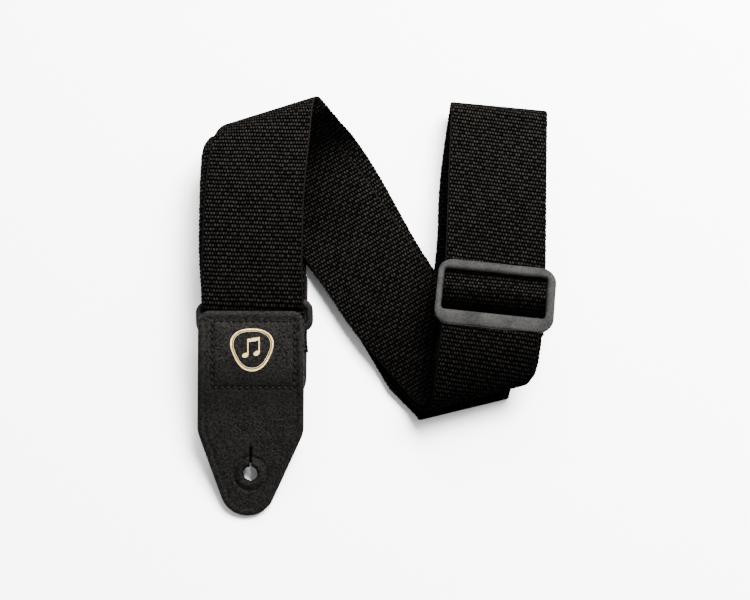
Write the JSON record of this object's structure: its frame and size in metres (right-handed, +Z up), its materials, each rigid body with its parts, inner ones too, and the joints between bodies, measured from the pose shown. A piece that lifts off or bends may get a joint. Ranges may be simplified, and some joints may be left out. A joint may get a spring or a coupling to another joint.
{
  "type": "guitar strap",
  "caption": "Folded 50 mm webbing guitar strap with leather ends, pin holes, a ring and a sliding tri-glide adjuster",
  "frame": {"origin": "under the middle of the folded strap, on the surface that it lies on", "axes": "+Z up; +Y along the two upright arms of the N, away from the front leather end's tip; +X to the right, from the front leather end to the slider"},
  "size_m": [0.1828, 0.2218, 0.0356],
  "materials": {
    "black_webbing": "ribbed polypropylene weave",
    "black_leather": "fine grain, semi-matte",
    "black_plastic": "fine moulded texture",
    "black_thread": "bonded sewing thread",
    "gold_foil": "hot-stamped foil"
  },
  "bodies": {
    "strap": {"webbing_diagonal_run_inner": "black_webbing", "webbing_diagonal_run_outer": "black_webbing", "webbing_diagonal_run_under": "black_webbing", "webbing_left_run_inner": "black_webbing", "webbing_left_run_outer": "black_webbing", "webbing_left_run_under": "black_webbing", "webbing_lower_fold_inner": "black_webbing", "webbing_lower_fold_outer": "black_webbing", "webbing_lower_fold_under": "black_webbing", "webbing_right_run_inner": "black_webbing", "webbing_right_run_outer": "black_webbing", "webbing_right_run_under": "black_webbing", "webbing_ring_loop": "black_webbing", "webbing_top_left_fold_inner": "black_webbing", "webbing_top_left_fold_outer": "black_webbing", "webbing_top_left_fold_under": "black_webbing", "webbing_top_right_fold": "black_webbing", "rear_leather_end": "black_leather", "rear_box_thread": "black_thread"},
    "ring": {"rectangular_ring": "black_plastic"},
    "front_end": {"front_leather_end": "black_leather", "ring_keeper_webbing": "black_webbing", "front_box_thread": "black_thread", "foil_motif": "gold_foil"},
    "slider": {"tri_glide_slider": "black_plastic", "slider_end_loop": "black_webbing", "slider_seam_thread": "black_thread"}
  },
  "joints": [
    {"name": "slider_travel", "type": "slide", "parent": "strap", "child": "slider", "axis": [0.059, 0.9936, -0.0965], "range_m": [0, 0.055]},
    {"name": "ring_swing", "type": "hinge", "parent": "strap", "child": "ring", "pos_m": [-0.06121, -0.0069, 0.028], "axis": [-0.9999, -0.014, 0], "range_deg": [0, 80]},
    {"name": "end_rock", "type": "hinge", "parent": "ring", "child": "front_end", "pos_m": [-0.06105, -0.01824, 0.0244], "axis": [-0.9999, -0.014, 0], "range_deg": [0, 8]}
  ]
}
